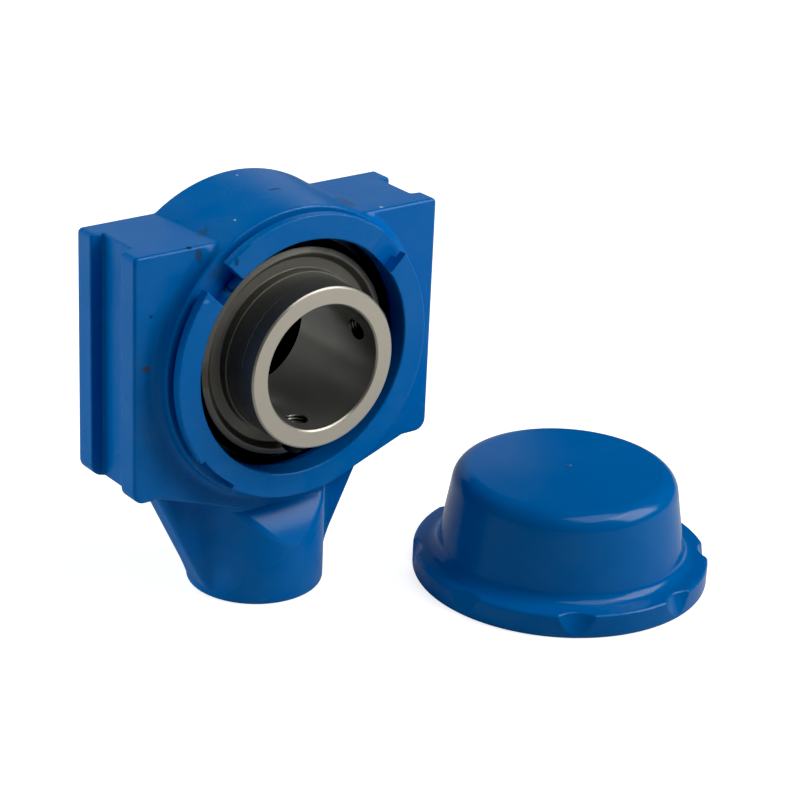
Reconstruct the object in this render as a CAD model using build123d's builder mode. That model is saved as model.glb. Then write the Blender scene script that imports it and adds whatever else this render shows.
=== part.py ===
from build123d import *
import math
import os

# Take-up (tensioner) bearing unit for a 40 mm shaft. The origin is the bearing's centre, the
# shaft runs along Y with the front at -Y, and the screw boss points down to the floor.

# Insert bearing
shaft_diameter = 40.0
bearing_outside = 80.0
outer_ring_width = 21.0
inner_ring_outside = 51.8
inner_ring_front = 30.2
inner_ring_rear = 10.5
ball_diameter = 12.7
ball_count = 9
race_clearance = 0.04
race_conformity = 1.04
ring_chamfer = 0.5
outer_ring_wall = 5.8
seal_step = 1.0
seal_seat_depth = 2.9
seal_thickness = 2.1
seal_lip_clearance = 0.1
cage_clearance = 0.2
cage_wall = 4.4
cage_back = 0.7
cage_finger = 3.0

# Flinger pressed on the inner ring
flinger_sheet = 0.5
flinger_collar = 16.4
flinger_flat = 13.1
flinger_flat_radius = 29.9
flinger_step = 15.1
flinger_step_radius = 31.7
flinger_radius = 33.7
flinger_rim = 14.3
flinger_rim_end = 12.9
flinger_bend = 0.4

# Set screws
screw_diameter = 7.2
screw_clearance = 0.05
screw_length = 8.0
screw_plane = 20.2
screw_backed_off = 2.2
screw_angles = (15.5, -96.5)
screw_socket = 4.0
screw_socket_depth = 4.0
screw_point = 1.0

# Guide plate of the housing
plate_margin = 6.8
plate_front = 11.6
plate_depth = 32.4
plate_top = 39.3
plate_bottom = 39.9
plate_foot_flat = 9.4
plate_toe_step = 2.36
plate_slope = 20.0
plate_foot_radius = 4.0
plate_corner_radius = 1.5
plate_edge_radius = 1.0
plate_rear_edge = 0.8
guide_width = 16.0
guide_depth = 4.1
guide_front_flange = 8.2
guide_mouth = 0.6
guide_edge_radius = 0.6
guide_root_radius = 0.8

# Barrel round the bearing, with the snap groove and lip for the end cover
barrel_wall = 8.6
barrel_taper = 1.6
barrel_front = 15.8
barrel_edge = 0.8
barrel_root_radius = 3.0
groove_depth = 3.5
groove_width = 2.2
lip_step = 1.2
lip_thickness = 2.8
lip_edge = 0.5
seat_hold = 2.2
seat_clearance = 0.06
left_notch_angle = 135.4
left_notch_width = 10.0
right_notch_angle = 44.0
right_notch_width = 12.4
pry_slot_angle = -134.75
pry_slot_sweep = 19.5
pry_slot_depth = 1.4

# Screw boss and its webs
boss_radius = 22.1
boss_end = 84.5
boss_edge = 1.2
boss_stand = 6.1
boss_top = 40.0
scoop_start = 65.0
scoop_top = 52.0
scoop_slope = 29.25
scoop_dish = 1.2
scoop_edge_share = 0.136
web_thickness = 11.0
web_angle = 26.4
web_toe = 81.5
web_edge_radius = 2.5
web_root_radius = 5.0
nut_across_flats = 30.0
nut_length = 20.0
nut_inset = 4.0
nut_thread = 18.4
nut_chamfer = 1.0
screw_well = 21.0
screw_well_depth = 30.0

# Back seal in the rear of the housing
back_seat_wall = 7.6
back_seat_depth = 6.0
back_carrier_sheet = 1.2
back_carrier_bore = 27.5
back_carrier_inset = 1.0
back_seal_width = 3.2
back_lip_clearance = 0.25
back_lip_width = 1.2

# End cover, standing on the floor beside the housing
cover_centre_x = 86.65
cover_centre_y = -46.5
cover_rim_wall = 2.3
cover_rim_height = 8.5
cover_rim_edge = 1.2
cover_height = 37.0
cover_wall = 2.2
cover_dome_foot = 40.6
cover_dome_top = 36.0
cover_crown = 0.5
cover_top_radius = 6.2
cover_foot_radius = 4.0
cover_rim_fall = 0.5
cover_lip_clearance = 0.3
cover_bead = 1.6
cover_bead_height = 1.8
scallop_count = 8
scallop_first = -34.0
scallop_radius = 9.8
scallop_depth = 2.8
scallop_height = 7.2
scallop_edge = 0.8

# Worked out from the above
bore_radius = shaft_diameter / 2
ring_radius = inner_ring_outside / 2
ball_radius = ball_diameter / 2
pitch_radius = (shaft_diameter + bearing_outside) / 4
race_radius = ball_radius * race_conformity
race_offset = race_radius - ball_radius - race_clearance
ring_land = bearing_outside / 2 - outer_ring_wall
seal_seat = ring_land + seal_step
seat_radius = bearing_outside / 2 + seat_clearance
mouth_radius = bearing_outside / 2 - seat_hold
barrel_rear_radius = bearing_outside / 2 + barrel_wall
barrel_front_radius = barrel_rear_radius - barrel_taper
groove_radius = barrel_front_radius - groove_depth
lip_radius = barrel_front_radius - lip_step
plate_rear = plate_depth - plate_front
plate_width = 2 * (barrel_rear_radius + plate_margin)
plate_flat = plate_width / 2 - plate_foot_flat
boss_half = math.sqrt(boss_radius**2 - (boss_radius - boss_stand) ** 2)
plate_toe = boss_half + plate_toe_step
lip_front = barrel_front + groove_width + lip_thickness
boss_centre = boss_radius - plate_front - boss_stand
scoop_edge = scoop_edge_share * boss_radius
back_seat_radius = barrel_rear_radius - back_seat_wall
floor = -boss_end


def turned(angle):
    """Place of a ball on the pitch circle, at angle round the shaft."""
    turn = math.radians(angle)
    return Plane(origin=(pitch_radius * math.cos(turn), 0, pitch_radius * math.sin(turn)))


def front(y):
    """Plane seen from the front, its own y up, at distance y towards the rear."""
    return Plane.XZ.offset(-y)


def half_section(angle):
    """Plane through the shaft's axis, its x pointing out at angle from +X towards +Z."""
    turn = math.radians(angle)
    out = (math.cos(turn), 0, math.sin(turn))
    return Plane(origin=(0, 0, 0), x_dir=out, z_dir=(-out[2], 0, out[0]))


def radial(angle, y):
    """Plane on the shaft's axis at distance y, its normal pointing out at angle."""
    turn = math.radians(angle)
    return Plane(origin=(0, y, 0), x_dir=(0, 1, 0), z_dir=(math.cos(turn), 0, math.sin(turn)))


os.makedirs("parts", exist_ok=True)

# Housing: boss, guide plate, webs and barrel in one moulding
boss_foot = plate_bottom + (plate_flat - plate_toe) * math.tan(math.radians(plate_slope))
scoop_depth = (scoop_start - scoop_top) * math.tan(math.radians(scoop_slope))
web_spread = math.tan(math.radians(web_angle)) * (web_toe - boss_top)
web_centre = plate_rear - plate_depth / 2
with BuildPart() as housing:
    # Webs, narrowing to the boss and rounded into it
    with BuildSketch(Plane.XY.offset(-web_toe)) as web_plan:
        with Locations((0, boss_centre)):
            Circle(boss_radius)
        with Locations((0, web_centre)):
            Rectangle(2 * (boss_radius + web_spread), web_thickness)
        corners = web_plan.vertices().filter_by(lambda corner: abs(corner.X) < boss_radius)
        fillet(corners, web_root_radius)
    extrude(amount=web_toe - boss_top)
    with BuildSketch(Plane.XZ):
        with BuildLine():
            Polyline(
                (-boss_radius, -web_toe),
                (boss_radius, -web_toe),
                (boss_radius + web_spread, -boss_top),
                (-boss_radius - web_spread, -boss_top),
                close=True,
            )
        make_face()
    extrude(amount=plate_width, both=True, mode=Mode.INTERSECT)
    slants = housing.edges().filter_by(GeomType.LINE).filter_by(Plane.XZ)
    slants = slants.filter_by(Axis.X, reverse=True).filter_by(Axis.Z, reverse=True)
    fillet(slants, web_edge_radius)

    # Boss for the adjusting screw
    with BuildSketch(Plane.XY.offset(floor)):
        with Locations((0, boss_centre)):
            Circle(boss_radius)
    extrude(amount=boss_end - boss_top)
    fillet(housing.faces().sort_by(Axis.Z)[0].edges(), boss_edge)

    # Dished scoop in the boss below the lip, for the cover's rim
    scoop_foot = (boss_centre - boss_radius, -scoop_start)
    scoop_head = (boss_centre - boss_radius + scoop_depth, -scoop_top)
    with BuildSketch(Plane.YZ):
        with BuildLine():
            SagittaArc(scoop_foot, scoop_head, scoop_dish)
            Polyline(
                scoop_head,
                (-plate_front, -scoop_top),
                (-plate_front, -boss_top),
                (boss_centre - 2 * boss_radius, -boss_top),
                (boss_centre - 2 * boss_radius, -scoop_start),
                scoop_foot,
            )
        make_face()
    extrude(amount=boss_radius, both=True, mode=Mode.SUBTRACT)
    fillet(housing.edges().filter_by(GeomType.BSPLINE).group_by(Axis.Y)[0], scoop_edge)

    # Guide plate, its bottom sloping down to the boss
    with BuildSketch(front(plate_rear)):
        with BuildLine():
            Polyline(
                (-plate_width / 2, plate_top),
                (plate_width / 2, plate_top),
                (plate_width / 2, -plate_bottom),
                (plate_flat, -plate_bottom),
                (plate_toe, -boss_foot),
                (-plate_toe, -boss_foot),
                (-plate_flat, -plate_bottom),
                (-plate_width / 2, -plate_bottom),
                close=True,
            )
        make_face()
    extrude(amount=plate_depth)
    ends = housing.edges().filter_by(Axis.Y)
    heads = ends.filter_by_position(Axis.Z, plate_top - 0.01, plate_top + 0.01)
    fillet(heads, plate_corner_radius)
    feet = ends.filter_by_position(Axis.X, plate_width / 2 - 0.01, plate_width / 2 + 0.01)
    feet = feet + ends.filter_by_position(Axis.X, -plate_width / 2 - 0.01, -plate_width / 2 + 0.01)
    fillet(feet.filter_by_position(Axis.Z, -plate_bottom - 0.01, -plate_bottom + 0.01), plate_foot_radius)
    rim = housing.edges().filter_by_position(Axis.Y, -plate_front - 0.01, -plate_front + 0.01)
    fillet(rim, plate_edge_radius)

    # Barrel, a slightly drafted drum, with its root rounded onto the plate
    with BuildSketch(Plane.XY):
        with BuildLine():
            Polyline(
                (0, plate_rear),
                (barrel_rear_radius, plate_rear),
                (barrel_front_radius, -barrel_front),
                (0, -barrel_front),
                close=True,
            )
        make_face()
    revolve(axis=Axis.Y)
    root = housing.edges().filter_by_position(Axis.Y, -plate_front - 0.01, -plate_front + 0.01)
    root = root.filter_by(GeomType.CIRCLE).filter_by(lambda edge: edge.radius > bearing_outside / 2)
    shoulder = housing.edges().filter_by_position(Axis.Z, plate_top - 0.01, plate_top + 0.01)
    shoulder = shoulder.filter_by(GeomType.HYPERBOLA)
    fillet(root + shoulder, barrel_root_radius)

    # Snap groove and lip that hold the end cover
    with BuildSketch(Plane.XY):
        with BuildLine():
            Polyline(
                (0, -barrel_front / 2),
                (groove_radius, -barrel_front / 2),
                (groove_radius, -barrel_front - groove_width),
                (lip_radius, -barrel_front - groove_width),
                (lip_radius, -lip_front),
                (0, -lip_front),
                close=True,
            )
        make_face()
    revolve(axis=Axis.Y)

    # Bearing seat, a spherical band between the open mouth and the seal's recess
    seat_end = math.sqrt(seat_radius**2 - mouth_radius**2)
    with BuildSketch(Plane.XY):
        with BuildLine():
            Polyline((mouth_radius, -seat_end), (mouth_radius, -2 * lip_front), (0, -2 * lip_front))
            Polyline((0, -2 * lip_front), (0, 2 * plate_rear), (back_seat_radius, 2 * plate_rear))
            Line((back_seat_radius, 2 * plate_rear), (back_seat_radius, plate_rear - back_seat_depth))
            Line((back_seat_radius, plate_rear - back_seat_depth), (mouth_radius, plate_rear - back_seat_depth))
            Line((mouth_radius, plate_rear - back_seat_depth), (mouth_radius, seat_end))
            ThreePointArc((mouth_radius, seat_end), (seat_radius, 0), (mouth_radius, -seat_end))
        make_face()
    revolve(axis=Axis.Y, mode=Mode.SUBTRACT)
    rims = housing.edges().filter_by(GeomType.CIRCLE).filter_by_position(
        Axis.Y, -lip_front - 0.01, -lip_front + 0.01
    )
    fillet(rims, lip_edge)
    edge = housing.edges().filter_by(GeomType.CIRCLE).filter_by_position(
        Axis.Y, -barrel_front - 0.01, -barrel_front + 0.01
    )
    fillet(edge.filter_by(lambda rim: rim.radius > lip_radius), barrel_edge)

    # Notches through the lip, and the slot where a tool lifts the cover
    for angle, width in ((left_notch_angle, left_notch_width), (right_notch_angle, right_notch_width)):
        turn = math.radians(angle)
        with BuildSketch(front(-barrel_front)):
            with Locations((lip_radius * math.cos(turn), lip_radius * math.sin(turn))):
                Rectangle(2 * (lip_radius - mouth_radius), width, rotation=angle)
        extrude(amount=2 * (lip_front - barrel_front), mode=Mode.SUBTRACT)
    with BuildSketch(half_section(pry_slot_angle + pry_slot_sweep / 2)):
        with Locations((lip_radius, -barrel_front - groove_width - lip_thickness / 2)):
            Rectangle(2 * pry_slot_depth, 2 * lip_thickness)
    revolve(axis=Axis.Y, revolution_arc=pry_slot_sweep, mode=Mode.SUBTRACT)

    # Guide grooves down both sides
    guide_front = -plate_front + guide_front_flange
    for side in (-1, 1):
        with BuildSketch(Plane.XY.offset(-boss_top - plate_bottom)):
            with BuildLine():
                Polyline(
                    (side * (plate_width / 2 - guide_depth), guide_front),
                    (side * (plate_width / 2 - guide_depth), guide_front + guide_width),
                    (side * (plate_width / 2 + guide_depth), guide_front + guide_width + 2 * guide_mouth),
                    (side * (plate_width / 2 + guide_depth), guide_front - 2 * guide_mouth),
                    close=True,
                )
            make_face()
        extrude(amount=2 * (plate_bottom + boss_top), mode=Mode.SUBTRACT)
    uprights = housing.edges().filter_by(Axis.Z).filter_by_position(
        Axis.Y, guide_front - 2 * guide_mouth, guide_front + guide_width + 2 * guide_mouth
    )
    mouths = uprights.filter_by(lambda edge: abs(abs(edge.center().X) - plate_width / 2) < 0.01)
    roots = uprights.filter_by(lambda edge: abs(abs(edge.center().X) - plate_width / 2 + guide_depth) < 0.01)
    fillet(roots, guide_root_radius)
    fillet(mouths, guide_edge_radius)
    back = housing.edges().filter_by_position(Axis.Y, plate_rear - 0.01, plate_rear + 0.01)
    sides = back.filter_by(lambda edge: abs(abs(edge.center().X) - plate_width / 2) < plate_foot_radius)
    fillet(sides, plate_rear_edge)

    # Well for the adjusting screw and the pocket that its nut is moulded into
    with BuildSketch(Plane.XY.offset(floor)):
        with Locations((0, boss_centre)):
            Circle(screw_well / 2)
    extrude(amount=screw_well_depth, mode=Mode.SUBTRACT)
    with BuildSketch(Plane.XY.offset(floor + nut_inset)):
        with Locations((0, boss_centre)):
            RegularPolygon(nut_across_flats / 2, 6, major_radius=False, rotation=30)
    extrude(amount=nut_length, mode=Mode.SUBTRACT)
housing.part.label = "housing"
export_step(housing.part, "parts/housing.step")

# Hexagon nut for the adjusting screw, moulded into the boss
with BuildPart() as adjusting_nut:
    with BuildSketch(Plane.XY.offset(floor + nut_inset)):
        with Locations((0, boss_centre)):
            RegularPolygon(nut_across_flats / 2, 6, major_radius=False, rotation=30)
            Circle(nut_thread / 2, mode=Mode.SUBTRACT)
    extrude(amount=nut_length)
    chamfer(adjusting_nut.edges().filter_by(GeomType.CIRCLE), nut_chamfer)
adjusting_nut.part.label = "adjusting_nut"
export_step(adjusting_nut.part, "parts/adjusting_nut.step")

# Outer ring of the insert bearing: spherical outside, raceway and a seat for each seal
outer_half = outer_ring_width / 2
outer_corner = math.sqrt((bearing_outside / 2) ** 2 - outer_half**2)
with BuildPart() as outer_ring:
    with BuildSketch(Plane.XY):
        with BuildLine():
            Polyline((outer_corner, outer_half), (seal_seat, outer_half))
            Line((seal_seat, outer_half), (seal_seat, outer_half - seal_seat_depth))
            Line((seal_seat, outer_half - seal_seat_depth), (ring_land, outer_half - seal_seat_depth))
            Line((ring_land, outer_half - seal_seat_depth), (ring_land, seal_seat_depth - outer_half))
            Line((ring_land, seal_seat_depth - outer_half), (seal_seat, seal_seat_depth - outer_half))
            Polyline((seal_seat, seal_seat_depth - outer_half), (seal_seat, -outer_half))
            Line((seal_seat, -outer_half), (outer_corner, -outer_half))
            ThreePointArc((outer_corner, -outer_half), (bearing_outside / 2, 0), (outer_corner, outer_half))
        make_face()
        with Locations((pitch_radius - race_offset, 0)):
            Circle(race_radius, mode=Mode.SUBTRACT)
    revolve(axis=Axis.Y)
    chamfer(outer_ring.edges().filter_by(lambda rim: abs(abs(rim.center().Y) - outer_half) < 0.01), ring_chamfer)
outer_ring.part.label = "outer_ring"
export_step(outer_ring.part, "parts/outer_ring.step")

# Inner ring, extended to the front, with two threaded holes for the set screws
with BuildPart() as inner_ring:
    with BuildSketch(Plane.XY):
        with Locations(((bore_radius + ring_radius) / 2, (inner_ring_rear - inner_ring_front) / 2)):
            Rectangle(ring_radius - bore_radius, inner_ring_rear + inner_ring_front)
        chamfer(vertices(), ring_chamfer)
        with Locations((pitch_radius + race_offset, 0)):
            Circle(race_radius, mode=Mode.SUBTRACT)
    revolve(axis=Axis.Y)
    for angle in screw_angles:
        with BuildSketch(radial(angle, -screw_plane)):
            Circle(screw_diameter / 2 + screw_clearance)
        extrude(amount=2 * ring_radius, mode=Mode.SUBTRACT)
inner_ring.part.label = "inner_ring"
export_step(inner_ring.part, "parts/inner_ring.step")

# Cage, a moulded crown that snaps over the balls from behind
pocket_radius = ball_radius + cage_clearance
with BuildPart() as cage:
    with BuildSketch(Plane.XY):
        with Locations((pitch_radius, (pocket_radius + cage_back - cage_finger) / 2)):
            Rectangle(cage_wall, pocket_radius + cage_back + cage_finger)
    revolve(axis=Axis.Y)
    with Locations([turned(360 * n / ball_count) for n in range(ball_count)]):
        Sphere(pocket_radius, mode=Mode.SUBTRACT)
cage.part.label = "cage"
export_step(cage.part, "parts/cage.step")

# Balls
for n in range(ball_count):
    with BuildPart(turned(360 * n / ball_count)) as ball:
        Sphere(ball_radius)
    ball.part.label = f"ball_{n + 1}"
    export_step(ball.part, f"parts/ball_{n + 1}.step")

# Rubber seals between the rings, front and rear
seal_lip = ring_radius + seal_lip_clearance
for name, side in (("front_seal", -1), ("rear_seal", 1)):
    seal_inside = side * (outer_half - seal_seat_depth)
    seal_outside = side * (outer_half - seal_seat_depth + seal_thickness)
    with BuildPart() as seal:
        with BuildSketch(Plane.XY):
            with BuildLine():
                Polyline(
                    (seal_seat, seal_inside),
                    (seal_seat, seal_outside),
                    (seal_lip + 2 * seal_thickness, seal_outside),
                    (seal_lip, seal_outside - side * seal_thickness / 2),
                    (seal_lip, seal_inside),
                    (seal_lip + seal_thickness, seal_inside + side * seal_thickness / 2),
                    (ring_land - seal_thickness, seal_inside + side * seal_thickness / 2),
                    (ring_land - seal_thickness / 2, seal_inside),
                    close=True,
                )
            make_face()
        revolve(axis=Axis.Y)
    seal.part.label = name
    export_step(seal.part, f"parts/{name}.step")

# Flinger, a pressed sheet disc tight on the inner ring, in front of the seal
flinger_seat = ring_radius + flinger_sheet
with BuildPart() as front_flinger:
    with BuildSketch(Plane.XY):
        with BuildLine():
            Polyline(
                (ring_radius, -flinger_collar),
                (flinger_seat, -flinger_collar),
                (flinger_seat, -flinger_flat),
                (flinger_flat_radius, -flinger_flat),
                (flinger_step_radius, -flinger_step),
                (flinger_radius, -flinger_rim),
                (flinger_radius, -flinger_rim_end),
                (flinger_radius - flinger_sheet, -flinger_rim_end),
                (flinger_radius - flinger_sheet, -flinger_rim + flinger_sheet),
                (flinger_step_radius, -flinger_step + flinger_sheet),
                (flinger_flat_radius + flinger_sheet / 2, -flinger_flat + flinger_sheet),
                (ring_radius, -flinger_flat + flinger_sheet),
                close=True,
            )
        make_face()
        for corner in (
            (flinger_seat, -flinger_flat),
            (flinger_flat_radius, -flinger_flat),
            (flinger_step_radius, -flinger_step),
            (flinger_radius, -flinger_rim),
        ):
            fillet(vertices().sort_by_distance((*corner, 0))[0], flinger_bend)
    revolve(axis=Axis.Y)
front_flinger.part.label = "front_flinger"
export_step(front_flinger.part, "parts/front_flinger.step")

# Set screws, hexagon socket and a turned-down point, backed off from the shaft
for n, angle in enumerate(screw_angles):
    with BuildPart(radial(angle, -screw_plane).offset(bore_radius + screw_backed_off)) as set_screw:
        with Locations((0, 0, screw_length / 2)):
            Cylinder(screw_diameter / 2, screw_length)
        chamfer(set_screw.edges().filter_by(GeomType.CIRCLE), screw_point)
        with BuildSketch(radial(angle, -screw_plane).offset(bore_radius + screw_backed_off + screw_length)):
            RegularPolygon(screw_socket / 2, 6, major_radius=False)
        extrude(amount=-screw_socket_depth, mode=Mode.SUBTRACT)
    set_screw.part.label = f"set_screw_{n + 1}"
    export_step(set_screw.part, f"parts/set_screw_{n + 1}.step")

# Back seal: a pressed carrier in the recess behind the bearing, with a rubber lip bonded on it
seat_floor = plate_rear - back_seat_depth
carrier_face = seat_floor + back_carrier_sheet
with BuildPart() as seal_carrier:
    with BuildSketch(Plane.XY):
        with BuildLine():
            Polyline(
                (back_carrier_bore, seat_floor),
                (back_seat_radius, seat_floor),
                (back_seat_radius, plate_rear - back_carrier_inset),
                (back_seat_radius - back_carrier_sheet, plate_rear - back_carrier_inset),
                (back_seat_radius - back_carrier_sheet, carrier_face),
                (back_carrier_bore, carrier_face),
                close=True,
            )
        make_face()
    revolve(axis=Axis.Y)
seal_carrier.part.label = "seal_carrier"
export_step(seal_carrier.part, "parts/seal_carrier.step")

back_lip = bore_radius + back_lip_clearance
with BuildPart() as back_seal:
    with BuildSketch(Plane.XY):
        with BuildLine():
            Polyline(
                (back_seat_radius - back_carrier_sheet, carrier_face),
                (back_seat_radius - back_carrier_sheet, carrier_face + back_seal_width / 2),
                (back_carrier_bore + 2 * back_lip_width, carrier_face + back_seal_width / 2),
                (back_carrier_bore, carrier_face + back_seal_width),
                (back_lip + back_lip_width, carrier_face + back_seal_width),
                (back_lip, carrier_face + back_seal_width - back_lip_width),
                (back_lip, carrier_face + back_seal_width - 2 * back_lip_width),
                (back_lip + 3 * back_lip_width, carrier_face),
                close=True,
            )
        make_face()
    revolve(axis=Axis.Y)
back_seal.part.label = "back_seal"
export_step(back_seal.part, "parts/back_seal.step")

# End cover, a moulded cap with a snap bead inside its mouth and scallops round its rim
cover_plane = Plane(origin=(cover_centre_x, cover_centre_y, floor), x_dir=(1, 0, 0), z_dir=(0, -1, 0))
cover_axis = Axis((cover_centre_x, cover_centre_y, floor), (0, 0, 1))
cover_seat = lip_front - barrel_front + cover_lip_clearance
cover_bore = lip_radius + cover_lip_clearance
cover_radius = cover_bore + cover_rim_wall
crown_radius = (cover_dome_top**2 + cover_crown**2) / (2 * cover_crown)
crown_arc = math.asin(cover_dome_top / crown_radius)
with BuildPart() as end_cover:
    with BuildSketch(cover_plane) as outside:
        with BuildLine():
            Polyline(
                (0, 0),
                (cover_radius, 0),
                (cover_radius, cover_rim_height - cover_rim_fall),
                (cover_dome_foot, cover_rim_height),
                (cover_dome_top, cover_height - cover_crown),
            )
            JernArc((0, cover_height), (1, 0), crown_radius, -math.degrees(crown_arc))
            Line((0, cover_height), (0, 0))
        make_face()
        fillet(vertices().sort_by_distance((cover_dome_top, cover_height - cover_crown, 0))[0], cover_top_radius)
        fillet(vertices().sort_by_distance((cover_dome_foot, cover_rim_height, 0))[0], cover_foot_radius)
        for height in (0, cover_rim_height - cover_rim_fall):
            fillet(vertices().sort_by_distance((cover_radius, height, 0))[0], cover_rim_edge)
    revolve(axis=cover_axis)

    # Scallops, each the side of a leaning cylinder, with softened edges
    scallop_lean = scallop_depth / scallop_height
    for n in range(scallop_count):
        turn = math.radians(scallop_first + 360 * n / scallop_count)
        out = (math.cos(turn), math.sin(turn))
        start = cover_radius + scallop_radius + scallop_lean * (cover_rim_height - scallop_height)
        with BuildSketch(Plane.XY.offset(floor)):
            with Locations((cover_centre_x + start * out[0], cover_centre_y + start * out[1])):
                Circle(scallop_radius)
        lean = (-scallop_lean * out[0], -scallop_lean * out[1], 1)
        extrude(amount=2 * cover_rim_height, dir=lean, mode=Mode.SUBTRACT)
    fillet(end_cover.faces().filter_by(GeomType.EXTRUSION).edges(), scallop_edge)

    # Hollow, stepped to seat on the lip, with the bead that snaps into the groove
    with BuildSketch(cover_plane):
        with BuildLine():
            Polyline(
                (0, 0),
                (cover_bore, 0),
                (cover_bore - cover_bead, cover_bead_height / 2),
                (cover_bore, cover_bead_height),
                (cover_bore, cover_seat),
                (cover_dome_foot - cover_wall, cover_seat),
                (cover_dome_top - cover_wall, cover_height - cover_crown - cover_wall),
                (0, cover_height - cover_crown - cover_wall),
                close=True,
            )
        make_face()
        fillet(
            vertices().sort_by_distance((cover_dome_top - cover_wall, cover_height - cover_crown - cover_wall, 0))[0],
            cover_top_radius - cover_wall,
        )
    revolve(axis=cover_axis, mode=Mode.SUBTRACT)
end_cover.part.label = "end_cover"
export_step(end_cover.part, "parts/end_cover.step")
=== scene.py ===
import math

import bmesh
import bpy
from mathutils import Matrix, Vector


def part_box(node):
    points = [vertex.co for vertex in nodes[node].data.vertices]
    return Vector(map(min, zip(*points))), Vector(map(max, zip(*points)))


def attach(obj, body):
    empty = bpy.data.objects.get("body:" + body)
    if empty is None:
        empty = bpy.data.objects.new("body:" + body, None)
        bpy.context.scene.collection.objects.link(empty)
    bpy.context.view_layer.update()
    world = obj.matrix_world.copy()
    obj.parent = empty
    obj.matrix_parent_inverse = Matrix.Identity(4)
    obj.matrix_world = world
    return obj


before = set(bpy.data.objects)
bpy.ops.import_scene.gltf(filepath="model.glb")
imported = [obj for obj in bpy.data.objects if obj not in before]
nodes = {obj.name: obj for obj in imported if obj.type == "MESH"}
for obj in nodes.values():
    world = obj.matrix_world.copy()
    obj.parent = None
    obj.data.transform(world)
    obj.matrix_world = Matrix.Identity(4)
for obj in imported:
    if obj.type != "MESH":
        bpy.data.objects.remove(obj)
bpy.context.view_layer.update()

mm = 0.001
print("frame loaded:", len(nodes), "nodes")


def addObject(name, data):  # a new object in the scene, at the origin
    thing = bpy.data.objects.new(name, data)
    bpy.context.collection.objects.link(thing)
    return thing


def outwards(azimuth, elevation):  # a unit vector, in radians from the front (-Y) and from level
    reach = math.cos(elevation)
    return Vector((math.sin(azimuth) * reach, -math.cos(azimuth) * reach, math.sin(elevation)))


# Camera: the photograph's, worked out from the ring, the plate and the cover's rim

cameraView = {
    "place": (-0.4149, -0.5973, 0.2906),
    "azimuth": -38.1,
    "elevation": 23.12,
    "roll": 2.62,
    "focal": 2517 / 800,  # in widths of the picture
    "sensor": 36,
    "nearest": 0.02,
    "farthest": 20,
    "black": 0.006,  # what is darker than this prints black, as in the photograph
}

azimuth, elevation, roll = (math.radians(cameraView[key]) for key in ("azimuth", "elevation", "roll"))
backward = outwards(azimuth, elevation)
level = Vector((math.cos(azimuth), math.sin(azimuth), 0))
upward = backward.cross(level)
right = math.cos(roll) * level + math.sin(roll) * upward
up = -math.sin(roll) * level + math.cos(roll) * upward
camera = addObject("photoCamera", bpy.data.cameras.new("photoCamera"))
camera.matrix_world = Matrix((right, up, backward)).transposed().to_4x4()
camera.location = cameraView["place"]
camera.data.sensor_width = cameraView["sensor"]
camera.data.lens = cameraView["sensor"] * cameraView["focal"]
camera.data.clip_start = cameraView["nearest"]
camera.data.clip_end = cameraView["farthest"]
bpy.context.scene.camera = camera
grade = bpy.context.scene.view_settings
grade.view_transform = "Standard"
grade.use_curve_mapping = True
grade.curve_mapping.black_level = [cameraView["black"]] * 3
grade.curve_mapping.update()
print("camera set")


# Materials

share, first, second, blend = 0, 6, 7, 2  # the numbers of a Mix node's colour sockets, and of its output
bevelSamples = 6
waveRing = 2 * math.pi / 20  # a Wave texture of this scale has one ring to the unit
noiseLow, noiseHigh = 0.3, 0.7  # nearly all of a noise's values lie between these


def colour(hexText):  # sRGB hex to the linear colour that the shader takes
    parts = [int(hexText[i:i + 2], 16) / 255 for i in (0, 2, 4)]
    return tuple(c / 12.92 if c <= 0.04045 else ((c + 0.055) / 1.055) ** 2.4 for c in parts) + (1.0,)


def addNode(material, kind, links=(), **settings):  # links: {socket: output or value}
    node = material.node_tree.nodes.new(kind)
    for name, value in settings.items():
        setattr(node, name, value)
    for socket, value in dict(links).items():
        if isinstance(value, bpy.types.NodeSocket):
            material.node_tree.links.new(value, node.inputs[socket])
        else:
            node.inputs[socket].default_value = value
    return node


def newMaterial(name, **sockets):  # a Principled shader with its constants on its own sockets
    material = bpy.data.materials.new(name)
    material.use_nodes = True
    shader = material.node_tree.nodes["Principled BSDF"]
    for socket, value in sockets.items():
        shader.inputs[socket.replace("_", " ")].default_value = value  # Base_Color sets Base Color
    return material, shader


def wire(material, output, node, socket):
    material.node_tree.links.new(output, node.inputs[socket])


raggedEdge = {  # a mark fades in from outside to inside, in reaches, after the noise moves it by its swing
    "grain": 1.6, "detail": 5.0, "roughness": 0.75, "swing": 1.6, "outside": 1.9, "inside": 1.5,
}


def marked(material, place, base, marks):  # lays each mark over the base colour, with a ragged edge
    if not marks:
        return base
    ragged = addNode(material, "ShaderNodeTexNoise", {
        "Vector": place, "Scale": 1 / (raggedEdge["grain"] * mm),
        "Detail": raggedEdge["detail"], "Roughness": raggedEdge["roughness"]})
    for centre, reach, tint, strength in marks.values():
        offset = addNode(material, "ShaderNodeVectorMath", {0: place, 1: [c * mm for c in centre]},
                         operation="SUBTRACT")
        scaled = addNode(material, "ShaderNodeVectorMath",
                         {0: offset.outputs["Vector"], 1: [c * mm for c in reach]}, operation="DIVIDE")
        away = addNode(material, "ShaderNodeVectorMath", {0: scaled.outputs["Vector"]}, operation="LENGTH")
        edge = addNode(material, "ShaderNodeMath", {
            0: ragged.outputs["Fac"], 1: raggedEdge["swing"], 2: away.outputs["Value"]},
            operation="MULTIPLY_ADD")
        mask = addNode(material, "ShaderNodeMapRange", {
            "Value": edge.outputs["Value"], "From Min": raggedEdge["outside"],
            "From Max": raggedEdge["inside"], "To Min": 0.0, "To Max": strength})
        laid = addNode(material, "ShaderNodeMix",
                       {share: mask.outputs["Result"], first: base, second: colour(tint)}, data_type="RGBA")
        base = laid.outputs[blend]
    return base


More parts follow.
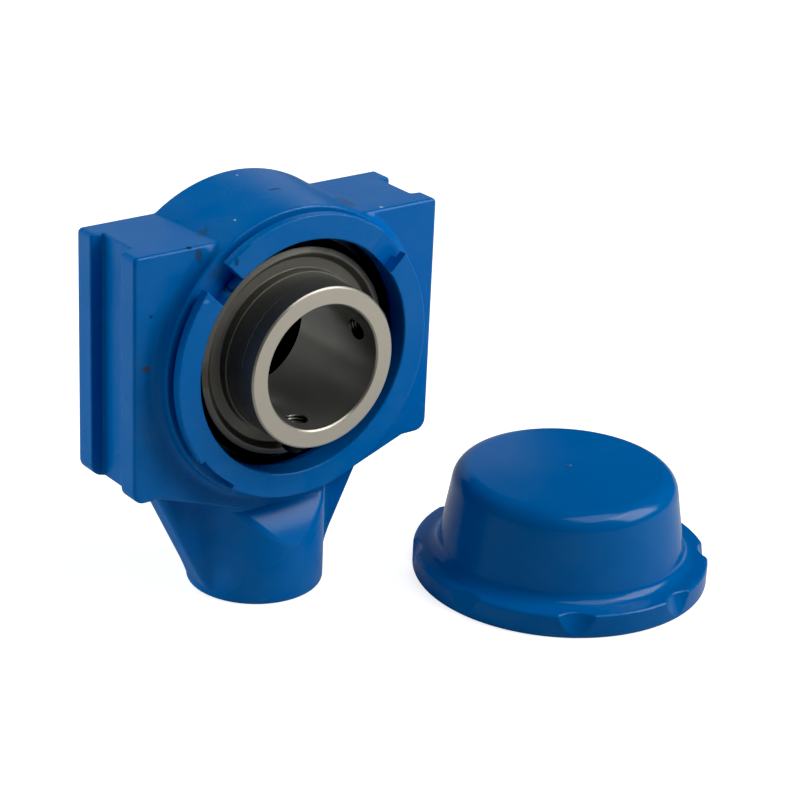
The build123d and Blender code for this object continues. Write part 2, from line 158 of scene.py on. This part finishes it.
def mouldedPolyester(name, look, marks):
    # PBT polyester, injection moulded in a smooth tool: saturated blue with a soft gloss, tones that
    # drift slowly, a faint orange peel in the highlights and paler patches where it has been handled
    material, shader = newMaterial(name, IOR=look["ior"], Roughness=look["roughness"],
                                   Specular_IOR_Level=look["gloss"])
    place = addNode(material, "ShaderNodeTexCoord").outputs["Object"]
    cloud = addNode(material, "ShaderNodeTexNoise",
                    {"Vector": place, "Scale": 1 / (look["cloud"] * mm), "Detail": 3.0})
    tone = addNode(material, "ShaderNodeMix", {
        share: cloud.outputs["Fac"], first: colour(look["deep"]), second: colour(look["base"])},
        data_type="RGBA")
    # handled patches
    rubAndEdgeHighlight = addNode(material, "ShaderNodeTexNoise",
                     {"Vector": place, "Scale": 1 / (look["rub"] * mm), "Detail": 2.0})
    rubMask = addNode(material, "ShaderNodeMapRange", {
        "Value": rubAndEdgeHighlight.outputs["Fac"], "From Min": look["rubFrom"], "From Max": look["rubFull"],
        "To Min": 0.0, "To Max": look["rubStrength"]})
    skin = addNode(material, "ShaderNodeMix", {
        share: rubMask.outputs["Result"], first: tone.outputs[blend], second: colour(look["rubAndEdgeHighlight"])},
        data_type="RGBA")
    # painted highlight: pale lines laid on every edge, convex and concave, where the rounded normal turns
    # away from the flat one
    rounded = addNode(material, "ShaderNodeBevel", {"Radius": look["edge"] * mm}, samples=bevelSamples)
    flat = addNode(material, "ShaderNodeNewGeometry")
    turned = addNode(material, "ShaderNodeVectorMath",
                     {0: rounded.outputs["Normal"], 1: flat.outputs["Normal"]}, operation="DOT_PRODUCT")
    edgeHighlightMask = addNode(material, "ShaderNodeMapRange", {
        "Value": turned.outputs["Value"], "From Min": look["edgeHighlightFrom"], "From Max": look["edgeHighlightFull"],
        "To Min": 0.0, "To Max": look["edgeHighlightStrength"]})
    edgeHighlighted = addNode(material, "ShaderNodeMix", {
        share: edgeHighlightMask.outputs["Result"], first: skin.outputs[blend], second: colour(look["rubAndEdgeHighlight"])},
        data_type="RGBA")
    wire(material, marked(material, place, edgeHighlighted.outputs[blend], marks), shader, "Base Color")
    # gloss that drifts with the tone, and the peel
    satin = addNode(material, "ShaderNodeMapRange", {
        "Value": cloud.outputs["Fac"], "From Min": noiseLow, "From Max": noiseHigh,
        "To Min": look["roughness"] - look["satinFall"], "To Max": look["roughness"] + look["satinRise"]})
    wire(material, satin.outputs["Result"], shader, "Roughness")
    peel = addNode(material, "ShaderNodeTexNoise",
                   {"Vector": place, "Scale": 1 / (look["peel"] * mm), "Detail": 1.0})
    bump = addNode(material, "ShaderNodeBump", {
        "Height": peel.outputs["Fac"], "Normal": rounded.outputs["Normal"],
        "Strength": look["peelStrength"], "Distance": look["peelDepth"] * mm})
    wire(material, bump.outputs["Normal"], shader, "Normal")
    return material


def turnedSteel(name, look, marks, thread=None):
    # steel turned or ground about the bearing's axis (Y): fine rings that stretch the highlight, with
    # the faces in one tone and the barrel and bore in a darker one, painted shade where the surface turns
    # away from Y
    material, shader = newMaterial(name, Metallic=look["metal"], Roughness=look["roughness"])
    coords = addNode(material, "ShaderNodeTexCoord")
    place = coords.outputs["Object"]
    facing = addNode(material, "ShaderNodeSeparateXYZ", {"Vector": coords.outputs["Normal"]})
    endOn = addNode(material, "ShaderNodeMath", {0: facing.outputs["Y"]}, operation="ABSOLUTE")
    faceMask = addNode(material, "ShaderNodeMapRange", {
        "Value": endOn.outputs["Value"], "From Min": look["faceFrom"], "From Max": look["faceFull"]})
    faceShare = faceMask.outputs["Result"]
    if thread:  # the walls of the screw holes keep the barrel's painted shade
        spot = addNode(material, "ShaderNodeSeparateXYZ", {"Vector": place})
        inHole = addNode(material, "ShaderNodeMath",
                         {0: spot.outputs["Y"], 1: thread["place"] * mm, 2: thread["reach"] * mm},
                         operation="COMPARE")
        onFace = addNode(material, "ShaderNodeMath", {0: faceShare, 1: inHole.outputs["Value"]},
                         operation="SUBTRACT", use_clamp=True)
        faceShare = onFace.outputs["Value"]
    # the barrel tone is painted shade: it darkens the bore, the barrels and the screw holes
    tone = addNode(material, "ShaderNodeMix",
                   {share: faceShare, first: colour(look["barrel"]), second: colour(look["face"])},
                   data_type="RGBA")
    wire(material, marked(material, place, tone.outputs[blend], marks), shader, "Base Color")
    film = addNode(material, "ShaderNodeTexNoise",
                   {"Vector": place, "Scale": 1 / (look["film"] * mm), "Detail": 4.0})
    satin = addNode(material, "ShaderNodeMapRange", {
        "Value": film.outputs["Fac"], "From Min": noiseLow, "From Max": noiseHigh,
        "To Min": look["roughness"] - look["satinFall"], "To Max": look["roughness"] + look["satinRise"]})
    wire(material, satin.outputs["Result"], shader, "Roughness")
    rings = addNode(material, "ShaderNodeTexWave", {
        "Vector": place, "Scale": waveRing / (look["pitch"] * mm), "Distortion": look["wobble"],
        "Detail": 1.0},
        wave_type="RINGS", rings_direction="Y")
    rounded = addNode(material, "ShaderNodeBevel", {"Radius": look["edge"] * mm}, samples=bevelSamples)
    bump = addNode(material, "ShaderNodeBump", {
        "Height": rings.outputs["Fac"], "Normal": rounded.outputs["Normal"],
        "Strength": look["ringStrength"], "Distance": look["depth"] * mm})
    if thread:  # a saw of heights along the way out from the axis
        across = addNode(material, "ShaderNodeCombineXYZ", {"X": spot.outputs["X"], "Z": spot.outputs["Z"]})
        away = addNode(material, "ShaderNodeVectorMath", {0: across.outputs["Vector"]}, operation="LENGTH")
        turns = addNode(material, "ShaderNodeMath", {0: away.outputs["Value"], 1: thread["pitch"] * mm},
                        operation="DIVIDE")
        tooth = addNode(material, "ShaderNodeMath", {0: turns.outputs["Value"], 1: 0.5},
                        operation="PINGPONG")
        cut = addNode(material, "ShaderNodeMath", {0: tooth.outputs["Value"], 1: inHole.outputs["Value"]},
                      operation="MULTIPLY")
        bump = addNode(material, "ShaderNodeBump", {  # a tooth is half a unit high
            "Height": cut.outputs["Value"], "Normal": bump.outputs["Normal"],
            "Strength": 1.0, "Distance": 2 * thread["depth"] * mm})
    wire(material, bump.outputs["Normal"], shader, "Normal")
    return material


def matMoulding(name, look):
    # nitrile rubber or nylon, moulded without polish: matt, with a faint bloom and a fine grain
    material, shader = newMaterial(name, IOR=look["ior"], Roughness=look["roughness"])
    place = addNode(material, "ShaderNodeTexCoord").outputs["Object"]
    bloom = addNode(material, "ShaderNodeTexNoise",
                    {"Vector": place, "Scale": 1 / (look["patch"] * mm), "Detail": 5.0})
    tone = addNode(material, "ShaderNodeMix", {
        share: bloom.outputs["Fac"], first: colour(look["base"]), second: colour(look["bloom"])},
        data_type="RGBA")
    wire(material, tone.outputs[blend], shader, "Base Color")
    grain = addNode(material, "ShaderNodeTexNoise",
                    {"Vector": place, "Scale": 1 / (look["grain"] * mm), "Detail": 2.0})
    bump = addNode(material, "ShaderNodeBump", {
        "Height": grain.outputs["Fac"], "Strength": look["grainStrength"],
        "Distance": look["grainDepth"] * mm})
    wire(material, bump.outputs["Normal"], shader, "Normal")
    return material


housingLook = {
    "base": "0068b6", "deep": "0062ab",  # the two tones that it drifts between
    # the pale tone of the handled patches, also the colour of the painted edge highlight
    "rubAndEdgeHighlight": "5f8fb8",
    "roughness": 0.27, "satinFall": 0.03, "satinRise": 0.05,
    "ior": 1.52, "gloss": 0.18,
    "cloud": 40,  # mm, as are the next four
    "rub": 14,
    "peel": 2.5, "peelDepth": 0.02,
    "edge": 0.5,
    "rubFrom": 0.4, "rubFull": 0.9, "rubStrength": 0.12,
    # the painted edge highlight: where it starts, where it is full, and how pale it gets
    "edgeHighlightFrom": 0.99, "edgeHighlightFull": 0.8, "edgeHighlightStrength": 0.35,  # from and full: cosine of the turn
    "peelStrength": 0.15,
}
coverLook = {**housingLook, "base": "005fa6", "deep": "005a9e", "rubStrength": 0.06,
             "roughness": 0.16, "edge": 0.6, "gloss": 0.2}  # the cleaner and glossier of the two
housingMarks = {  # centre mm, reach mm, colour, strength
    "stainOnPlate": ((-51.3, -11.6, 4.2), (1.6, 2.0, 1.1), "4a4334", 0.8),
    "stainAtCorner": ((-33.4, -11.6, 36.6), (1.3, 2.0, 2.6), "34403f", 0.7),
    "nickOnTopEdge": ((-36.2, -10.8, 39.3), (0.9, 0.9, 0.8), "021a33", 0.9),
    "speckOnPlate": ((-49.7, -11.6, 20.4), (0.6, 1.0, 0.6), "02284e", 0.7),
    "scratchOnBarrel": ((1.9, 0.5, 47.8), (2.6, 0.6, 1.0), "03223f", 0.85),
    "dirtAtShoulder": ((27.7, 0.0, 39.6), (2.0, 6.0, 1.5), "2f4352", 0.5),
    "dirtOnBarrel": ((-26.6, -3.0, 39.9), (2.6, 2.0, 2.0), "2c4b62", 0.5),
    "scuffAtShoulder": ((24.6, 3.0, 41.8), (1.5, 11.0, 1.5), "8fb0cc", 0.45),
    "whiteSpeckFront": ((-18.1, -7.8, 43.7), (0.45, 0.5, 0.6), "c5d3de", 0.8),
    "whiteSpeckRear": ((-1.7, 15.8, 48.4), (0.4, 0.5, 0.6), "c5d3de", 0.7),
    "whiteNickAtShoulder": ((34.9, -9.9, 39.3), (0.7, 0.7, 0.6), "a9c4da", 0.8),
    "cutOnLip": ((-25.9, -20.8, 36.0), (0.9, 0.8, 1.2), "022b52", 0.7),
    "cutOnLowerLip": ((-36.5, -20.8, 25.5), (1.2, 0.8, 0.7), "4f93cc", 0.6),
}
flingerMarks = {
    "rustLeft": ((-32.4, -14.6, -1.0), (1.6, 2.0, 4.5), "5a4330", 0.45),
    "rustTop": ((9.0, -14.8, 31.6), (5.0, 2.0, 1.8), "57493a", 0.35),
}

steelLook = {  # what every steel here shares; film, pitch, depth and edge are in mm
    "faceFrom": 0.4, "faceFull": 0.95,  # how far along Y a face points
    "film": 6, "satinFall": 0.04, "satinRise": 0.06, "wobble": 0.4, "ringStrength": 0.3,
}
# in each steel below, the barrel tone is painted shade for surfaces that turn away from Y
innerRingLook = {**steelLook, "face": "c9c2b3", "barrel": "71716d", "metal": 0.7, "roughness": 0.32,
                 "pitch": 0.35, "depth": 0.004, "edge": 0.3}
screwHoleThread = {"place": -20.2, "reach": 3.8, "pitch": 1.0, "depth": 0.3}  # place along Y, mm
# the outer ring is painted dark in both tones: painted shade, for a ring that sits deep in the housing's
# shade
outerRingLook = {**steelLook, "face": "2c3336", "barrel": "303436", "metal": 0.8, "roughness": 0.35,
                 "pitch": 0.5, "depth": 0.004, "edge": 0.3}
sheetLook = {**steelLook, "face": "7c7a72", "barrel": "66645c", "metal": 0.5, "roughness": 0.5,
             "pitch": 0.8, "depth": 0.01, "edge": 0.25}
ballLook = {**steelLook, "face": "d8d8d6", "barrel": "d8d8d6", "metal": 1.0, "roughness": 0.1,
            "pitch": 2.0, "depth": 0.0005, "edge": 0.1}
screwLook = {**steelLook, "face": "2c2b2a", "barrel": "2c2b2a", "metal": 0.9, "roughness": 0.42,
             "pitch": 0.5, "depth": 0.01, "edge": 0.15}
nutLook = {**steelLook, "face": "a9a7a2", "barrel": "a9a7a2", "metal": 1.0, "roughness": 0.35,
           "pitch": 0.6, "depth": 0.01, "edge": 0.25}
rubberLook = {"base": "0c0c0d", "bloom": "161617", "ior": 1.5, "roughness": 0.62,
              "patch": 4, "grain": 0.5, "grainDepth": 0.03, "grainStrength": 0.3}
cageLook = {**rubberLook, "base": "cfc7b4", "bloom": "d8d1c0", "roughness": 0.45}

housingPlastic = mouldedPolyester("mouldedPolyesterHousing", housingLook, housingMarks)
coverPlastic = mouldedPolyester("mouldedPolyesterCover", coverLook, {})
groundRing = turnedSteel("groundInnerRing", innerRingLook, {}, screwHoleThread)
shadeDarkenedRing = turnedSteel("shadeDarkenedOuterRing", outerRingLook, {})
pressedSteel = turnedSteel("pressedStainlessSheet", sheetLook, flingerMarks)
polishedBall = turnedSteel("polishedBallSteel", ballLook, {})
blackScrew = turnedSteel("blackOxideSteel", screwLook, {})
plainNut = turnedSteel("stainlessNut", nutLook, {})
blackRubber = matMoulding("nitrileRubber", rubberLook)
cagePlastic = matMoulding("mouldedNylonCage", cageLook)

finishes = {
    "housing": housingPlastic, "end_cover": coverPlastic,
    "inner_ring": groundRing, "outer_ring": shadeDarkenedRing,
    "front_flinger": pressedSteel, "seal_carrier": pressedSteel,
    "adjusting_nut": plainNut, "set_screw_1": blackScrew, "set_screw_2": blackScrew,
    "front_seal": blackRubber, "rear_seal": blackRubber, "back_seal": blackRubber,
    "cage": cagePlastic,
}
for name, node in nodes.items():
    for slot in node.material_slots:
        slot.material = finishes.get(name, polishedBall)  # the balls are the nodes without an entry
print("finishes given")


# Thread in the nut, and the gate mark on the cover

def addPiece(name, build, finish, body, place):  # a finished piece with its place in its mesh
    mesh = bpy.data.meshes.new(name)
    bmesh.ops.translate(build, verts=build.verts, vec=[c * mm for c in place])
    bmesh.ops.recalc_face_normals(build, faces=build.faces)
    build.to_mesh(mesh)
    build.free()
    mesh.materials.append(finish)
    mesh.shade_smooth()
    piece = addObject(name, mesh)
    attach(piece, body)
    return piece


def threadRidge(thread):  # a helical ridge that points in from the wall of a hole
    build = bmesh.new()
    foot, flat = thread["footShare"] * thread["pitch"], thread["flatShare"] * thread["pitch"]
    root, crest = thread["root"], thread["crest"]
    outline = ((root, -foot), (crest, -flat), (crest, flat), (root, foot))  # radius and height
    corners = [build.verts.new((r * mm, 0, (thread["start"] + z) * mm)) for r, z in outline]
    profile = [build.edges.new(pair) for pair in zip(corners, corners[1:])]
    rise = thread["end"] - thread["start"]
    turns = rise / thread["pitch"]
    count = round(turns * thread["steps"])
    bmesh.ops.spin(build, geom=corners + profile, axis=(0, 0, 1), cent=(0, 0, 0),
                   dvec=(0, 0, rise * mm / count), angle=2 * math.pi * turns, steps=count)
    return build


nutThread = {
    "place": (0, 4.4, -84.5),  # the middle of the boss's end, and the heights start from there
    "root": 9.19, "crest": 8.5, "pitch": 1.5, "start": 5.6, "end": 22.2,
    "footShare": 0.42, "flatShare": 0.06,  # half widths at foot and crest, in pitches
    "steps": 48,
}
addPiece("nutThread", threadRidge(nutThread), plainNut, "root", nutThread["place"])

gateMark = {"place": (88.5, -45.8, -47.53), "radius": 1.1, "topShare": 0.8, "rise": 0.18, "segments": 32}
gate = bmesh.new()
bmesh.ops.create_cone(gate, cap_ends=True, segments=gateMark["segments"], radius1=gateMark["radius"] * mm,
                      radius2=gateMark["radius"] * gateMark["topShare"] * mm, depth=gateMark["rise"] * mm)
addPiece("gateMark", gate, coverPlastic, "root", gateMark["place"])
print("nut thread and gate mark made")


# Floor and studio light

studio = {
    "floor": 3.0, "paper": "c8c8c8", "paperRoughness": 0.9, "paperGloss": 0.1, "floorLift": 0.8,
    "world": 0.035, "backdrop": 0.98,
    "aim": (0.03, 0, -0.02),  # the lights face this spot
    "lights": {  # azimuth, elevation, distance m, width m, height m, watts, seen in reflections
        "keyBox": (47, 34, 0.95, 0.6, 0.6, 6.8, True),
        "highBox": (22, 60, 0.95, 0.7, 0.5, 3.1, True),
        "leftBox": (-130, 8, 0.95, 0.45, 0.45, 4.0, False),
        "sideBox": (-98, 6, 0.95, 0.4, 0.4, 1.3, False),
        "backBox": (-165, 35, 0.95, 0.45, 0.45, 2.2, False),
        "backWall": (180, 12, 1.4, 2.4, 1.0, 2.8, True),
    },
}
white = (1, 1, 1, 1)

paper, paperShader = newMaterial("matPaper", Roughness=studio["paperRoughness"], Emission_Color=white,
                                 Specular_IOR_Level=studio["paperGloss"], Base_Color=colour(studio["paper"]))
paperSeen = addNode(paper, "ShaderNodeLightPath").outputs["Is Camera Ray"]
paperLift = addNode(paper, "ShaderNodeMath", {0: paperSeen, 1: studio["floorLift"]}, operation="MULTIPLY")
wire(paper, paperLift.outputs["Value"], paperShader, "Emission Strength")  # white, but no lamp for the part

lowest = min(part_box(name)[0][2] for name in nodes)
sheet = bmesh.new()
bmesh.ops.create_grid(sheet, x_segments=1, y_segments=1, size=studio["floor"])
bmesh.ops.translate(sheet, verts=sheet.verts, vec=(0, 0, lowest))
floorMesh = bpy.data.meshes.new("paperFloor")
sheet.to_mesh(floorMesh)
sheet.free()
floorMesh.materials.append(paper)
addObject("paperFloor", floorMesh)

for name, (azimuth, elevation, distance, width, height, watts, mirrored) in studio["lights"].items():
    outward = outwards(math.radians(azimuth), math.radians(elevation))
    lamp = bpy.data.lights.new(name, "AREA")
    lamp.shape = "RECTANGLE"
    lamp.size, lamp.size_y = width, height
    lamp.energy = watts
    box = addObject(name, lamp)
    box.location = Vector(studio["aim"]) + outward * distance
    box.rotation_euler = outward.to_track_quat("Z", "Y").to_euler()
    box.visible_camera = False
    box.visible_glossy = mirrored

world = bpy.data.worlds.new("studio")
bpy.context.scene.world = world
world.use_nodes = True
air = world.node_tree.nodes["Background"]
airSeen = addNode(world, "ShaderNodeLightPath").outputs["Is Camera Ray"]
airLevel = addNode(world, "ShaderNodeMapRange",
                   {"Value": airSeen, "To Min": studio["world"], "To Max": studio["backdrop"]})
wire(world, airLevel.outputs["Result"], air, "Strength")
air.inputs["Color"].default_value = white
print("studio lit")
